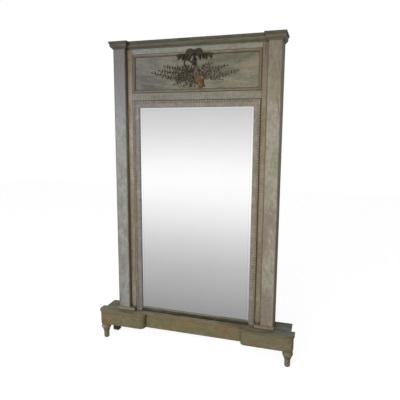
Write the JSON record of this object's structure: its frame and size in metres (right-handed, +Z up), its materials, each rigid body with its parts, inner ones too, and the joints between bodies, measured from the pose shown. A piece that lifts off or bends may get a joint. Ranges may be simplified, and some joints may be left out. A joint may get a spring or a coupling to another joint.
{
  "type": "trumeau mirror",
  "caption": "Tall mirror with a carved frieze over the plate, set between pilasters under a breakfront cornice, standing on a low footed base against a wall.",
  "frame": {"origin": "on the floor under the middle of the base board", "axes": "+Z up, +X to the right along the front, the mirror faces -Y and the wall is on +Y"},
  "size_m": [1.28, 0.18, 1.911],
  "materials": {
    "painted_frame": "aged matt paint, grey green, rubbed along the edges",
    "painted_carving": "aged matt paint with a pinkish wash in the carving",
    "stained_rail": "dark worn stain with flecks of old paint",
    "painted_base": "aged matt paint, olive grey over brown",
    "dark_relief": "dark bronze brown paint, matt",
    "ochre_relief": "ochre gilt paint, worn",
    "rose_relief": "faded rose paint over brown",
    "mirror_plate": "silvered glass with a shallow bevel",
    "raw_pine": "bare aged pine",
    "wall_steel": "plain steel, dull"
  },
  "bodies": {
    "root": {"back_board_1": "raw_pine", "back_board_2": "raw_pine", "back_board_3": "raw_pine", "back_board_4": "raw_pine", "base_back_rail": "raw_pine", "base_centre_rail": "painted_base", "base_top_board": "painted_base", "bottom_panel_moulding": "painted_frame", "bottom_rail": "stained_rail", "carved_head": "painted_carving", "cornice_centre": "painted_frame", "cornice_top_board": "painted_frame", "frieze_panel": "painted_frame", "front_feet": "painted_base", "glazing_blocks": "raw_pine", "left_base_bearer": "raw_pine", "left_base_side_rail": "painted_base", "left_carved_upright": "painted_carving", "left_cornice_break": "painted_frame", "left_front_block": "painted_base", "left_glue_blocks": "raw_pine", "left_panel_moulding": "painted_frame", "left_pilaster": "painted_frame", "left_plinth_block": "painted_frame", "left_rear_foot": "raw_pine", "left_side_board": "painted_frame", "left_stile": "painted_frame", "lower_batten": "raw_pine", "middle_rail": "painted_frame", "mirror_plate": "mirror_plate", "ornament_basket": "ochre_relief", "ornament_bow": "dark_relief", "ornament_flowers": "rose_relief", "ornament_handle": "dark_relief", "ornament_left_spray": "dark_relief", "ornament_right_spray": "dark_relief", "right_base_bearer": "raw_pine", "right_base_side_rail": "painted_base", "right_carved_upright": "painted_carving", "right_cornice_break": "painted_frame", "right_front_block": "painted_base", "right_glue_blocks": "raw_pine", "right_panel_moulding": "painted_frame", "right_pilaster": "painted_frame", "right_plinth_block": "painted_frame", "right_rear_foot": "raw_pine", "right_side_board": "painted_frame", "right_stile": "painted_frame", "top_panel_moulding": "painted_frame", "top_rail": "painted_frame", "upper_batten": "raw_pine", "wall_plates": "wall_steel"}
  },
  "joints": []
}
